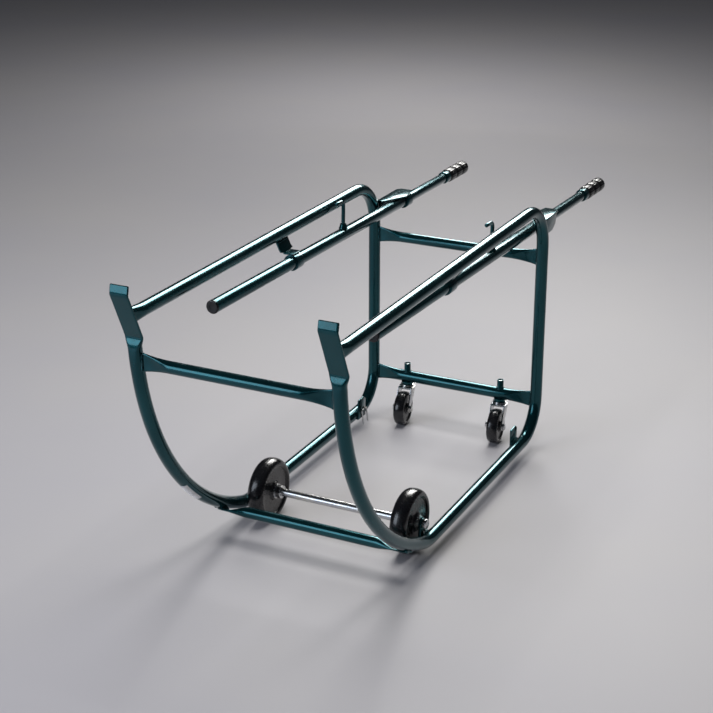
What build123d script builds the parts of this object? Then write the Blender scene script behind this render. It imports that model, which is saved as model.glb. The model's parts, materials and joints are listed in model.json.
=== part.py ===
from build123d import *
from math import atan2, cos, degrees, radians, sin, sqrt
import os

# Drum dolly: two bent side frames with flattened chime blades, joined by four
# crossbars, rolling on a front axle and two swivel casters, with a pair of
# telescoping handles.  Millimetres, +X right, +Y rear, +Z up.  The pieces are drawn
# about a datum between the wheels, then moved by origin_shift, which puts the origin
# on the floor, midway between the side frames and midway from blade to grip.

# Side frames
tube_od = 25.4
tube_wall = 1.6
rail_x = 194.7
bottom_z = 35.0
top_z = 546.8
post_y = 291.0
low_corner_r = 80.0
high_corner_r = 95.0
hoop_r = 511.0
toe_r = 120.0
hoop_front_y = -649.2
hoop_centre_z = 524.0
blade_w = 37.0
blade_t = 4.4
blade_foot = (-649.5, 508.0)
blade_bend = (-687.5, 593.0)
blade_tip = (-686.6, 610.0)
weep_d = 4.0

# Crossbars
bar_od = 22.2
bar_flat_h = 35.0
bar_flat_t = 4.0
bar_flat_len = 20.0
bar_flare_len = 62.0
front_upper_z = 461.0
front_lower_y = -380.0
rear_upper_z = 428.0
rear_lower_z = 104.8
rear_lower_od = 25.4

# Front axle and wheels
axle_d = 15.9
axle_y = -275.0
axle_half = 188.5
lug_od = 23.0
lug_w = 6.2
lug_x = 178.8
push_nut_od = 21.0
push_nut_w = 4.6
wheel_r = 63.5
wheel_w = 34.9
wheel_x = 152.9
wheel_hub_d = 36.0
bushing_od = 20.0
running = 0.05
snug = 0.02
washer_gap = 0.15

# Casters
caster_x = 111.5
caster_r = 38.1
caster_w = 24.0
caster_trail = 29.2
caster_yaw = 6.0
socket_od = 14.3
socket_id = 11.3
socket_top = 136.0
stem_d = 11.1
crown_z = 79.4
fork_t = 2.6
fork_gap = 27.0
bolt_d = 8.0

# Handles
guide_front = (158.9, -451.0, 501.9)
guide_rear = (167.3, 402.0, 482.8)
guide_id = 22.4
handle_od = 22.2
handle_start = 255.0
handle_end = 1180.0
collar_od = 32.5
front_collar_s = (298.0, 326.0)
rear_collar_s = (824.0, 850.0)
lock_s = 528.0
lock_d = 8.0
lock_bend = 10.0
lock_top = 70.0
lock_leg = 34.0
stop_s = (1055.0, 1077.0)
stop_od = 27.6
grip_s = 1077.0
grip_od = 31.5
grip_rings = 3

# Fittings low on the side frames
lug_plate = ((180.0, 27.0), (215.0, 27.0), (215.0, 67.0), (206.0, 74.5), (180.0, 72.5))
lug_plate_t = 3.0
staple_d = 3.4

# From the drawing datum to the middle of the overall length
origin_shift = -20.95


def yz(point, x=0.0):
    """A (y, z) pair as a point in the plane at x."""
    return Vector(x, point[0], point[1])


def tube_ring(plane, od=tube_od, wall=tube_wall):
    return plane * (Circle(od / 2) - Circle(od / 2 - wall))


def hoop_geometry():
    """Centre of the small toe arc and the two ends of the long hoop arc."""
    centre = Vector(0, hoop_front_y + hoop_r, hoop_centre_z)
    toe_z = bottom_z + toe_r
    reach = hoop_r - toe_r
    toe = Vector(0, centre.Y - sqrt(reach ** 2 - (centre.Z - toe_z) ** 2), toe_z)
    out = (toe - centre).normalized()
    join = centre + out * hoop_r
    top_drop = 40.0
    top = Vector(0, centre.Y - sqrt(hoop_r ** 2 - top_drop ** 2), centre.Z - top_drop)
    mid_angle = radians(40)
    mid = centre + Vector(0, -cos(mid_angle), -sin(mid_angle)) * hoop_r
    return centre, toe, join, top, mid


def frame_path():
    """Centre line of the bent tube: hoop, bottom rail, post and top rail."""
    centre, toe, join, top, mid = hoop_geometry()
    toe_end = Vector(0, toe.Y, bottom_z)
    half = atan2(toe.Y - join.Y, toe.Z - join.Z) / 2
    toe_mid = toe + Vector(0, -sin(half), -cos(half)) * toe_r
    low = Vector(0, post_y - low_corner_r, bottom_z + low_corner_r)
    high = Vector(0, post_y - high_corner_r, top_z - high_corner_r)
    j = low_corner_r * sqrt(0.5)
    k = high_corner_r * sqrt(0.5)
    rail_front = Vector(0, -671.0, top_z)
    return Wire([
        ThreePointArc(top, mid, join),
        ThreePointArc(join, toe_mid, toe_end),
        Line(toe_end, Vector(0, low.Y, bottom_z)),
        ThreePointArc(Vector(0, low.Y, bottom_z), low + Vector(0, j, -j), Vector(0, post_y, low.Z)),
        Line(Vector(0, post_y, low.Z), Vector(0, post_y, high.Z)),
        ThreePointArc(Vector(0, post_y, high.Z), high + Vector(0, k, k), Vector(0, high.Y, top_z)),
        Line(Vector(0, high.Y, top_z), rail_front),
    ])


def blade_section(point, ahead, width, thick):
    """Flattened tube section at a point, square to the direction ahead."""
    plane = Plane(origin=yz(point), x_dir=(1, 0, 0), z_dir=ahead)
    return plane * SlotOverall(width, thick)


def blade():
    """Tube end flattened into a chime blade, leaning forward, tip set upright."""
    top = hoop_geometry()[3]
    foot, bend, tip = yz(blade_foot), yz(blade_bend), yz(blade_tip)
    lean = (bend - foot).normalized()
    upright = (tip - bend).normalized()
    half_way = (lean + upright).normalized()
    neck = Plane(origin=top, x_dir=(1, 0, 0), z_dir=-(frame_path() % 0)) * Circle(tube_od / 2)
    foot_face = blade_section(blade_foot, lean, blade_w, blade_t)
    bend_face = blade_section(blade_bend, half_way, blade_w, blade_t)
    tip_face = blade_section(blade_tip, upright, blade_w, blade_t)
    flare = loft([neck, foot_face])
    web = loft([foot_face, bend_face], ruled=True)
    lip = loft([bend_face, tip_face], ruled=True)
    return flare + web + lip


def frame_sweep(hollow):
    """The side tube along its whole path, hollow or as the solid it fills."""
    path = frame_path()
    start = Plane(origin=path @ 0, x_dir=(1, 0, 0), z_dir=path % 0)
    section = tube_ring(start) if hollow else start * Circle(tube_od / 2)
    return sweep(section, path=path, transition=Transition.ROUND)


def side_frame():
    tube = frame_sweep(True)
    body = blade()
    lean = (yz(blade_bend) - yz(blade_foot)).normalized()
    back = Plane(origin=yz(blade_foot), x_dir=(1, 0, 0), z_dir=lean)
    ahead = back * Pos(0, -30 - blade_t / 2 + 1.0, 60) * Box(60, 60, 220)
    behind = back * Pos(0, 30 + blade_t / 2 - 1.0, 60) * Box(60, 60, 220)
    front = ahead if ahead.center().Y < behind.center().Y else behind
    rail_zone = Pos(0, -640, top_z) * Box(60, 90, 40)
    tube = tube - (front & rail_zone)
    weep = Pos(0, -610, top_z - tube_od / 2) * Cylinder(weep_d / 2, 8)
    drain = Pos(0, 60, bottom_z - tube_od / 2) * Cylinder(weep_d / 2, 8)
    return tube + body - weep - drain


def bar_end(half, od, flat_drop):
    """Right-hand end of a crossbar: round to flattened flare to flat tab."""
    start = half - bar_flare_len
    flat = half - bar_flat_len
    neck = Plane(origin=(start, 0, 0), x_dir=(0, 0, 1), z_dir=(1, 0, 0)) * Circle(od / 2)
    tab_plane = Plane(origin=(flat, 0, -flat_drop), x_dir=(0, 0, 1), z_dir=(1, 0, 0))
    tab = tab_plane * SlotOverall(bar_flat_h, bar_flat_t)
    return loft([neck, tab]) + extrude(tab, amount=bar_flat_len)


def crossbar(half, od=bar_od, flat_drop=0.0):
    """Hollow bar along X with both ends pressed flat, thin along Y."""
    straight = half - bar_flare_len
    body = Rot(0, 90, 0) * Cylinder(od / 2, 2 * straight)
    end = bar_end(half, od, flat_drop)
    bore = Rot(0, 90, 0) * Cylinder(od / 2 - tube_wall, 2 * straight - 8)
    weep = Pos(0, 0, -od / 2) * Cylinder(weep_d / 2, 8)
    return body + end + mirror(end, about=Plane.YZ) - bore - weep


def front_lower_crossbar(envelopes):
    """Bar slung under both hoops, its flat ends pressed against their undersides."""
    centre = hoop_geometry()[0]
    drop = Vector(0, front_lower_y - centre.Y, 0)
    z_at = centre.Z - sqrt(hoop_r ** 2 - drop.Y ** 2)
    out = (Vector(0, front_lower_y, z_at) - centre).normalized()
    tilt = degrees(atan2(-out.Y, -out.Z))
    offset = tube_od / 2 + bar_flat_t / 2 - 5.0
    half = rail_x + 7.0
    end_start = half - bar_flare_len - 6
    body = Rot(0, 90, 0) * Cylinder(bar_od / 2, 2 * end_start)
    neck = Plane(origin=(end_start, 0, 0), x_dir=(0, 1, 0), z_dir=(1, 0, 0)) * Circle(bar_od / 2)
    tab_plane = Plane(origin=(rail_x - 18, 0, -5.0), x_dir=(0, 1, 0), z_dir=(1, 0, 0))
    tab = tab_plane * SlotOverall(32.0, bar_flat_t)
    tip_plane = Plane(origin=(half, 0, -5.0), x_dir=(0, 1, 0), z_dir=(1, 0, 0))
    tip = tip_plane * SlotOverall(20.0, bar_flat_t)
    end = loft([neck, tab]) + loft([tab, tip], ruled=True)
    bore = Rot(0, 90, 0) * Cylinder(bar_od / 2 - tube_wall, 2 * end_start - 8)
    weep = Pos(0, 0, -bar_od / 2) * Cylinder(weep_d / 2, 8)
    bar = body + end + mirror(end, about=Plane.YZ) - bore - weep
    place = Vector(0, front_lower_y, z_at) + out * offset
    bar = Pos(place.X, place.Y, place.Z) * Rot(-tilt, 0, 0) * bar
    return bar - envelopes


def wheel_profile(r, w, hub_r, bore_r, recess, rim, crown):
    """Half section of a moulded wheel: (radius, axial) turned round the axle."""
    h = w / 2
    pts = [
        (bore_r, -h), (hub_r, -h), (hub_r + 2, -h + recess), (r - rim - 2, -h + recess),
        (r - rim, -h), (r - crown, -h),
    ]
    back = [(a, -b) for a, b in reversed(pts)]
    tread = ThreePointArc(pts[-1], (r, 0), back[0])
    shut = Line(back[-1], pts[0])
    return make_face(Polyline(*pts) + tread + Polyline(*back) + shut)


def wheel(r, w, hub_r, bore_r, recess, rim, crown):
    """Wheel centred on the origin with its axle along X."""
    face = Plane.XZ * wheel_profile(r, w, hub_r, bore_r, recess, rim, crown)
    turned = revolve(face, Axis.Z, 360)
    return Rot(0, 90, 0) * turned


def sleeve(od, bore, length):
    """Ring or tube centred on the origin, axis along X."""
    return Rot(0, 90, 0) * (Cylinder(od / 2, length) - Cylinder(bore / 2, length + 2))


def axle_lug(side, envelope):
    """Upright ear on the inner side of the side tube, round-topped about the axle."""
    eye = Rot(0, 90, 0) * Cylinder(lug_od / 2, lug_w)
    rise = wheel_r - bottom_z
    body = Pos(0, 0, -rise / 2) * Box(lug_w, lug_od, rise)
    ear = Pos(side * lug_x, axle_y, wheel_r) * (eye + body)
    bore = Pos(side * lug_x, axle_y, wheel_r) * Rot(0, 90, 0) * Cylinder(axle_d / 2 + snug, 30)
    return ear - bore - Pos(side * rail_x, 0, 0) * envelope


def front_axle_group():
    axle = Pos(0, axle_y, wheel_r) * Rot(0, 90, 0) * Cylinder(axle_d / 2, 2 * axle_half)
    cap = Rot(0, 90, 0) * Cylinder(push_nut_od / 2, push_nut_w)
    cap = fillet(cap.edges().sort_by(Axis.X)[-1], 1.6)
    cap = Pos(axle_half + 1.4 - push_nut_w / 2, axle_y, wheel_r) * cap - axle
    caps = [cap, mirror(cap, about=Plane.YZ)]
    inner = wheel_x - wheel_w / 2
    outer = wheel_x + wheel_w / 2
    washers = [
        Pos(side * x, axle_y, wheel_r) * sleeve(30.0, axle_d + 2 * washer_gap, 2.0)
        for side in (-1, 1)
        for x in (inner - 1.3, outer + 1.3)
    ]
    collar = sleeve(26.0, axle_d + 2 * running, 11.0) - Pos(0, 0, 10.5) * Cylinder(2.4, 5)
    collars = [Pos(side * (inner - 8.0), axle_y, wheel_r) * collar for side in (-1, 1)]
    return axle, caps, washers, collars


def caster_frame_side(x, bar):
    """Socket, stem and ball race, all held by the rear lower crossbar."""
    foot_top = rear_lower_z - rear_lower_od / 2 + 1.5
    sleeve_h = socket_top - 88.0
    foot = Pos(x, post_y, (foot_top + 88.0) / 2) * Cylinder(13.0, foot_top - 88.0)
    socket = Pos(x, post_y, 88.0 + sleeve_h / 2) * Cylinder(socket_od / 2, sleeve_h)
    socket += foot - bar
    socket -= Pos(x, post_y, 110) * Cylinder(socket_id / 2, 80)
    stem = Pos(x, post_y, (134.0 + 78.9) / 2) * Cylinder(stem_d / 2, 134.0 - 78.9)
    stem += Pos(x, post_y, 77.8) * Cylinder(9.5, 2.2)
    race = Pos(x, post_y, 85.1) * (Cylinder(15.5, 5.8) - Cylinder(stem_d / 2, 8))
    race = fillet(race.edges().filter_by(GeomType.CIRCLE).sort_by(SortBy.RADIUS)[-2:], 1.6)
    return socket, stem, race


def caster_fork():
    """Pressed fork under its swivel axis at the origin, wheel trailing along -Y."""
    half = fork_gap / 2 + fork_t
    crown = Pos(0, 0, crown_z + fork_t / 2) * Cylinder(17.5, fork_t)
    crown += Pos(0, -6, crown_z + fork_t / 2) * Box(2 * half, 26, fork_t)
    outline = Polyline(
        (-19, crown_z + fork_t), (7, crown_z + fork_t), (7, crown_z - 6),
        (-caster_trail + 9.0, caster_r), (-caster_trail - 9.0, caster_r), (-19, crown_z + fork_t),
    )
    blank = Plane.YZ * (make_face(outline) + Pos(-caster_trail, caster_r) * Circle(9.0))
    leg = extrude(blank, amount=fork_t / 2, both=True)
    legs = Pos(half - fork_t / 2, 0, 0) * leg + Pos(-half + fork_t / 2, 0, 0) * leg
    fork = crown + legs
    fork -= Pos(0, 0, crown_z) * Cylinder(stem_d / 2 + running, 12)
    fork -= Pos(0, -caster_trail, caster_r) * Rot(0, 90, 0) * Cylinder(bolt_d / 2, 60)
    return fork


def caster_bolt():
    half = fork_gap / 2 + fork_t
    shank = Rot(0, 90, 0) * Cylinder(bolt_d / 2, 2 * half + 14)
    head = Pos(half + 2.6, 0, 0) * Rot(0, 90, 0) * extrude(RegularPolygon(7.2, 6), 2.6, both=True)
    nut = Pos(-half - 3.0, 0, 0) * Rot(0, 90, 0) * extrude(RegularPolygon(7.2, 6), 3.0, both=True)
    trim = Pos(half + 5.2 + 5, 0, 0) * Box(10, 20, 20)
    bolt = Pos(0, -caster_trail, caster_r) * (shank - trim + head)
    nut = Pos(0, -caster_trail, caster_r) * (nut - Rot(0, 90, 0) * Cylinder(bolt_d / 2, 60))
    return bolt, nut


def place_caster(shape, x):
    return Pos(x, post_y, 0) * Rot(0, 0, caster_yaw) * shape


def guide_plane(s=0.0):
    """Plane square to the left guide axis at distance s from its front end."""
    a = Vector(-guide_front[0], guide_front[1], guide_front[2])
    b = Vector(-guide_rear[0], guide_rear[1], guide_rear[2])
    d = (b - a).normalized()
    return Plane(origin=a + d * s, x_dir=(1, 0, 0), z_dir=d)


def on_guide(s0, s1, od, bore=0.0):
    """Round bar or tube along the left guide axis from s0 to s1."""
    ring = Circle(od / 2) - Circle(bore / 2) if bore else Circle(od / 2)
    return extrude(guide_plane(s0) * ring, amount=s1 - s0)


def guide_length():
    a, b = Vector(*guide_front), Vector(*guide_rear)
    return (b - a).length


def lock_frame():
    """Plane at the lock station: Z away from the tube, X forward along it."""
    p = guide_plane(lock_s)
    up = (-p.y_dir) if p.y_dir.Z < 0 else p.y_dir
    return Plane(origin=p.origin, x_dir=p.z_dir * -1, z_dir=up)


def handle_pieces(envelope):
    """All the pieces of the left handle, keyed by what they are."""
    lock = lock_frame()
    length = guide_length()
    guide = on_guide(0, length, tube_od, guide_id)
    guide -= lock * Pos(0, 0, 12) * Cylinder(lock_d / 2 + 0.3, 8)
    boss = lock * Pos(0, 0, 16.5) * Cone(9.5, 6.5, 11.0)
    boss -= on_guide(0, length, tube_od)
    boss -= lock * Pos(0, 0, 18) * Cylinder(lock_d / 2 + running, 24)
    bend = lock_bend
    rise = lock_top - bend
    rod = lock * Pos(0, 0, (rise + handle_od / 2 + 0.05) / 2) * Cylinder(
        lock_d / 2, rise - handle_od / 2 - 0.05)
    path = Wire([
        ThreePointArc((0, 0, rise), (bend * (1 - sqrt(0.5)), 0, rise + bend * sqrt(0.5)), (bend, 0, rise + bend)),
        Line((bend, 0, rise + bend), (lock_leg, 0, rise + bend)),
    ])
    arm = sweep(Plane(origin=(0, 0, rise), z_dir=(0, 0, 1)) * Circle(lock_d / 2), path=path)
    rod = rod + lock * arm
    plug = on_guide(-2.6, 0, tube_od + 0.4) + on_guide(0, 14, guide_id)
    plug = fillet(plug.edges().filter_by(GeomType.CIRCLE).group_by(Axis.Y)[0], 0.8)
    stop = on_guide(stop_s[0], stop_s[1], stop_od, handle_od)
    stop = chamfer(stop.edges().filter_by(GeomType.CIRCLE).group_by(Axis.Y)[0].sort_by(SortBy.RADIUS)[-1], 2.0)
    grip = on_guide(grip_s, handle_end + 2.6, grip_od - 5)
    pitch = (handle_end + 2.6 - grip_s) / grip_rings
    for k in range(grip_rings):
        s = grip_s + k * pitch
        ring = on_guide(s + 2.0, s + pitch - 2.0, grip_od)
        grip += fillet(ring.edges().filter_by(GeomType.CIRCLE), 4.0)
    grip -= on_guide(grip_s - 1, handle_end, handle_od)
    return {
        "guide_tube": guide,
        "front_collar": on_guide(*front_collar_s, collar_od, tube_od),
        "rear_collar": on_guide(*rear_collar_s, collar_od, tube_od),
        "guide_plug": plug,
        "guide_strap": guide_strap(envelope),
        "guide_gusset": guide_gusset(envelope),
        "lock_boss": boss,
        "lock_screw": rod,
        "handle_tube": on_guide(handle_start, handle_end, handle_od, handle_od - 3.0),
        "stop_collar": stop,
        "grip": grip,
    }


def guide_strap(envelope):
    """Folded plate from the top rail's underside down to the front collar."""
    p = guide_plane((front_collar_s[0] + front_collar_s[1]) / 2).origin
    seat = p.Z + collar_od / 2 + 1.55
    line = Polyline(
        (p.X + 5, 0, seat), (p.X - 15, 0, seat), (-rail_x + 11.5, 0, seat + 9), (-rail_x + 4.5, 0, top_z - 9),
    )
    strip = make_face(offset(line, 1.5, kind=Kind.ARC, side=Side.BOTH))
    strap = Pos(0, p.Y, 0) * extrude(strip, amount=22, both=True, dir=(0, 1, 0))
    trim = Pos(p.X - 2, p.Y, seat - 1) * Box(34, 60, 8) - Pos(p.X - 2, p.Y, seat - 1) * Box(34, 28, 10)
    return strap - trim - envelope - on_guide(*front_collar_s, collar_od)


def guide_gusset(envelope):
    """Folded plate from the post back over the guide's rear collar."""
    p = guide_plane((rear_collar_s[0] + rear_collar_s[1]) / 2).origin
    z0 = p.Z + collar_od / 2 + 0.4
    deck = make_face(Polyline(
        (-190, 292), (-190, 392), (-182, 402), (-158, 402), (-147, 352), (-176, 292), (-190, 292),
    ))
    plate = Pos(0, 0, z0) * extrude(deck, amount=3)
    web = make_face(Polyline(
        (292, z0 - 32), (362, z0 - 32), (378, z0 - 22), (384, z0 - 8), (384, z0 + 3), (292, z0 + 3),
        (292, z0 - 32),
    ))
    flange = Pos(-188.5, 0, 0) * extrude(Plane.YZ * web, amount=1.5, both=True)
    return plate + flange - envelope


def rail_lug(side):
    inner = side * (rail_x - tube_od / 2)
    face = make_face(Polyline(*lug_plate, lug_plate[0]))
    plate = extrude(Plane.YZ * face, amount=lug_plate_t)
    x0 = inner - lug_plate_t if side > 0 else inner
    return Pos(x0, 0, 0) * plate


def rail_staple(side):
    """Two-legged wire bail fixed to the lug, legs hanging below the rail."""
    x = side * (rail_x - tube_od / 2 - lug_plate_t - staple_d / 2)
    r = 4.0
    k = r * (1 - sqrt(0.5))
    a, b, c, d = (201, 9), (192, 46), (214, 46), (223, 9)
    path = FilletPolyline(yz(a, x), yz(b, x), yz(c, x), yz(d, x), radius=r)
    start = Plane(origin=path @ 0, z_dir=path % 0)
    return sweep(start * Circle(staple_d / 2), path=path)


def hoop_label():
    """Thin wrap-round label on the lower front of the left hoop."""
    centre = hoop_geometry()[0]
    angle = 46.2
    span = 7.4
    r0 = tube_od / 2
    band = Circle(r0 + 0.35) - Circle(r0)
    keep = Pos(r0, -r0) * Rectangle(2 * r0, 2 * r0) + Pos(r0, 5) * Rectangle(2 * r0, 10)
    start = Vector(0, -cos(radians(angle - span / 2)), -sin(radians(angle - span / 2)))
    plane = Plane(origin=centre + start * hoop_r, x_dir=start, z_dir=start.cross(Vector(1, 0, 0)))
    sector = plane * (band & keep)
    wrap = revolve(sector, Axis(centre, (1, 0, 0)), span)
    return Pos(-rail_x, 0, 0) * wrap


def about_origin(shape):
    """One piece, or a list of like pieces, moved from the drawing datum to the origin."""
    move = Pos(0, origin_shift, 0)
    if isinstance(shape, list):
        return Compound(children=[move * piece for piece in shape])
    return move * shape


def build():
    frame = side_frame()
    left = Pos(-rail_x, 0, 0) * frame
    right = Pos(rail_x, 0, 0) * frame
    envelope = frame_sweep(False)
    envelopes = (Pos(-rail_x, 0, 0) * envelope, Pos(rail_x, 0, 0) * envelope)
    half = rail_x - tube_od / 2 + 1.2
    hoop_y = hoop_front_y + hoop_r - sqrt(hoop_r ** 2 - (hoop_centre_z - front_upper_z) ** 2)
    nodes = {"left_side_frame": left, "right_side_frame": right}
    nodes["front_upper_crossbar"] = Pos(0, hoop_y, front_upper_z) * crossbar(half) - envelopes
    nodes["front_lower_crossbar"] = front_lower_crossbar(envelopes)
    nodes["rear_upper_crossbar"] = Pos(0, post_y, rear_upper_z) * crossbar(half) - envelopes
    caster_bar = Pos(0, post_y, rear_lower_z) * crossbar(half, rear_lower_od) - envelopes
    holes = [Pos(x, post_y, rear_lower_z) * Cylinder(socket_od / 2, 60) for x in (-caster_x, caster_x)]
    nodes["rear_lower_crossbar"] = caster_bar - holes

    axle, caps, washers, collars = front_axle_group()
    nodes["front_axle"] = axle
    nodes["axle_caps"] = caps
    nodes["axle_washers"] = washers
    nodes["axle_collars"] = collars
    front = wheel(wheel_r, wheel_w, wheel_hub_d / 2, bushing_od / 2, 4.0, 15.0, 11.5)
    bush = sleeve(bushing_od, axle_d + 2 * running, wheel_w - 0.2)
    for name, side in (("left", -1), ("right", 1)):
        at = Pos(side * wheel_x, axle_y, wheel_r)
        nodes[name + "_axle_lug"] = axle_lug(side, envelope)
        nodes[name + "_front_wheel"] = at * front
        nodes[name + "_wheel_bushing"] = at * bush

    fork = caster_fork()
    bolt, nut = caster_bolt()
    small = wheel(caster_r, caster_w, 10.0, 6.0, 3.5, 9.0, 3.0)
    small_bush = sleeve(12.0, bolt_d + 2 * running, caster_w + 2.4)
    hub = Pos(0, -caster_trail, caster_r)
    for name, side in (("left", -1), ("right", 1)):
        x = side * caster_x
        socket, stem, race = caster_frame_side(x, caster_bar)
        nodes[name + "_caster_socket"] = socket
        nodes[name + "_caster_stem"] = stem
        nodes[name + "_caster_race"] = race
        nodes[name + "_caster_fork"] = place_caster(fork, x)
        nodes[name + "_caster_bolt"] = place_caster(bolt, x)
        nodes[name + "_caster_nut"] = place_caster(nut, x)
        nodes[name + "_caster_wheel"] = place_caster(hub * small, x)
        nodes[name + "_caster_bushing"] = place_caster(hub * small_bush, x)

    for part, shape in handle_pieces(envelopes[0]).items():
        nodes["left_" + part] = shape
        nodes["right_" + part] = mirror(shape, about=Plane.YZ)
    for name, side in (("left", -1), ("right", 1)):
        nodes[name + "_rail_lug"] = rail_lug(side)
        nodes[name + "_rail_staple"] = rail_staple(side)
    nodes["hoop_label"] = hoop_label()
    return {name: about_origin(shape) for name, shape in nodes.items()}


if __name__ == "__main__":
    os.makedirs("parts", exist_ok=True)
    for node, shape in build().items():
        export_step(shape, "parts/" + node + ".step")
        size = shape.bounding_box().size
        print(node, len(shape.solids()), round(size.X, 1), round(size.Y, 1), round(size.Z, 1))
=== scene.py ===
import json
import random
from math import asin, atan2, cos, degrees, pi, radians, sin, sqrt

import bmesh
import bpy
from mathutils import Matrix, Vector


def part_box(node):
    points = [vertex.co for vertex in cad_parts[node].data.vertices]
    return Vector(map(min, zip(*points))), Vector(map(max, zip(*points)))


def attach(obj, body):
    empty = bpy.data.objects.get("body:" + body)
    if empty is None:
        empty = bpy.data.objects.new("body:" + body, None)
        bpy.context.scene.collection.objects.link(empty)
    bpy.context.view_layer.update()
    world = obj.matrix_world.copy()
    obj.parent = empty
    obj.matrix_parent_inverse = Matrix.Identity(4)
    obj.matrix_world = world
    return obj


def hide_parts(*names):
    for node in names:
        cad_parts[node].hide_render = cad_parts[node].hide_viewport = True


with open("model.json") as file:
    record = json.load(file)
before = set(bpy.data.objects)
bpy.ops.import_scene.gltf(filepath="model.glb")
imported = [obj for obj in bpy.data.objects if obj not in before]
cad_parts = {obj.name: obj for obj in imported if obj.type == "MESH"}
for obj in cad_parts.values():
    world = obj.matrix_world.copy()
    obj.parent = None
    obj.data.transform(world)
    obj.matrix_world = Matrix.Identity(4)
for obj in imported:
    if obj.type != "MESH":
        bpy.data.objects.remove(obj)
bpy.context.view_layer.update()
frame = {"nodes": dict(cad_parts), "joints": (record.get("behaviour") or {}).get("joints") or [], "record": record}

# Lengths are millimetres here and become metres when a mesh is made.
MM = 0.001
RECORD = frame["record"]
NODE_BODY = {n: body for body, ns in RECORD["behaviour"]["bodies"].items() for n in ns}
NODE_SLOT = {s["node"]: s["material_slot"] for s in RECORD["subparts"]}
SIDES = (("left", -1), ("right", 1))


def box_mm(node):
    """A node's lowest and highest corners, in millimetres."""
    lo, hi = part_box(node)
    return Vector(lo) / MM, Vector(hi) / MM


FRAME_LO, FRAME_HI = box_mm("right_side_frame")
TUBE = 25.4
TUBE_R = TUBE / 2
RAIL_X = (FRAME_LO.x + FRAME_HI.x) / 2
POST_Y = FRAME_HI.y - TUBE_R
BOTTOM_Z = FRAME_LO.z + TUBE_R
RAIL_Z = 546.8
LOW_BEND = 80.0
HIGH_BEND = 95.0

# Hoop: a long arc from the blade down, then a tighter toe arc into the bottom rail
HOOP_R = 511.0
HOOP_C = Vector((POST_Y - 429.2, 524.0))
HOOP_TOP_Z = 484.0
HOOP_TOP_ANGLE = asin((HOOP_C.y - HOOP_TOP_Z) / HOOP_R)
TOE_R = 120.0

# Heights between which the front of the tube swells from the flat blade to its full round
CREASE_TOP = 508.0
CREASE_END = 460.0

# Blade, as (y, z) points
BLADE_W = FRAME_HI.x - FRAME_LO.x
BLADE_T = 4.4
FOOT = Vector((POST_Y - 940.5, CREASE_TOP))
BEND = Vector((POST_Y - 978.5, 593.0))
TIP = Vector((POST_Y - 974.9, 610.0))

# Front end of the top rail, pressed narrow where it meets the blade
PRESS_LEN = 46.0
PRESS_W = 16.0
PRESS_H = 31.0

# How much the two big bends oval the tube, as a share of its diameter
OVAL = 0.035

# Crossbars: their tubes, their pressed ends, and the bar slung under the hoops
BAR = 22.2
TAB_H = 35.0
TAB_T = 4.0
TAB_LEN = 2.0
FLARE_LEN = 56.0
UNDER_Y = POST_Y - 671.0
UNDER_FLAT_W = 32.0
UNDER_OVERHANG = 7.0
UNDER_FLARE = 68.0

# Guide axis on the left side, from its front end to its rear end
GUIDE_A = Vector((-158.9, POST_Y - 742.0, 501.9))
GUIDE_B = Vector((-167.3, POST_Y + 111.0, 482.8))
GUIDE_D = (GUIDE_B - GUIDE_A).normalized()
GUIDE_LEN = (GUIDE_B - GUIDE_A).length

# Places along that axis, from the guide's front end, and radii of what is on it
HANDLE_START = 255.0
HANDLE_END = 1180.0
HANDLE_R = 11.1
STOP_START = 1055.0
GRIP_START = 1077.0
GRIP_BORE = 11.15
GRIP_RINGS = 3
NECK_R = 13.0
COLLARS = (("front_collar", 298.0, 326.0), ("rear_collar", 824.0, 850.0))
COLLAR_R = 16.25
LOCK_S = 528.0
LOCK_RISE = 60.0
LOCK_BEND = 10.0
LOCK_R = 3.98

# Casters
CASTER_BAR_Z = 104.8
SOCKET_R = 7.6


# Mesh helpers

def solid(name, verts, faces, crease=35.0):
    """Object from vertices in millimetres, smooth but for edges sharper than crease degrees."""
    mesh = bpy.data.meshes.new(name)
    bm = bmesh.new()
    made = [bm.verts.new(Vector(v) * MM) for v in verts]
    for face in faces:
        bm.faces.new([made[i] for i in face])
    bmesh.ops.recalc_face_normals(bm, faces=bm.faces)
    bm.to_mesh(mesh)
    bm.free()
    mesh.polygons.foreach_set("use_smooth", [True] * len(mesh.polygons))
    mesh.set_sharp_from_angle(angle=radians(crease))
    obj = bpy.data.objects.new(name, mesh)
    bpy.context.scene.collection.objects.link(obj)
    return obj


def skin(name, rings, closed=False, crease=35.0):
    """Closed surface through rings of equal length, capped unless the rings close on themselves."""
    n = len(rings[0])
    verts = [p for ring in rings for p in ring]
    faces = []
    for k in range(len(rings) if closed else len(rings) - 1):
        a = k * n
        b = (k + 1) % len(rings) * n
        faces += [(a + i, a + (i + 1) % n, b + (i + 1) % n, b + i) for i in range(n)]
    if not closed:
        faces.append(tuple(range(n)))
        faces.append(tuple(range(len(verts) - n, len(verts))))
    return solid(name, verts, faces, crease)


def stand_in(obj, *nodes):
    """The piece takes the place, body and finish of CAD nodes that share a body."""
    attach(obj, NODE_BODY[nodes[0]])
    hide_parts(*nodes)
    obj.data.materials.append(MATS[NODE_SLOT[nodes[0]]])
    return obj


def trim(obj, body, slot):
    """A small added piece, such as a weld, with no CAD node of its own."""
    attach(obj, body)
    obj.data.materials.append(MATS[slot])
    return obj


def ease(q):
    q = min(1.0, max(0.0, q))
    return q * q * (3 - 2 * q)


def mix(a, b, q):
    return a + (b - a) * q


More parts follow.
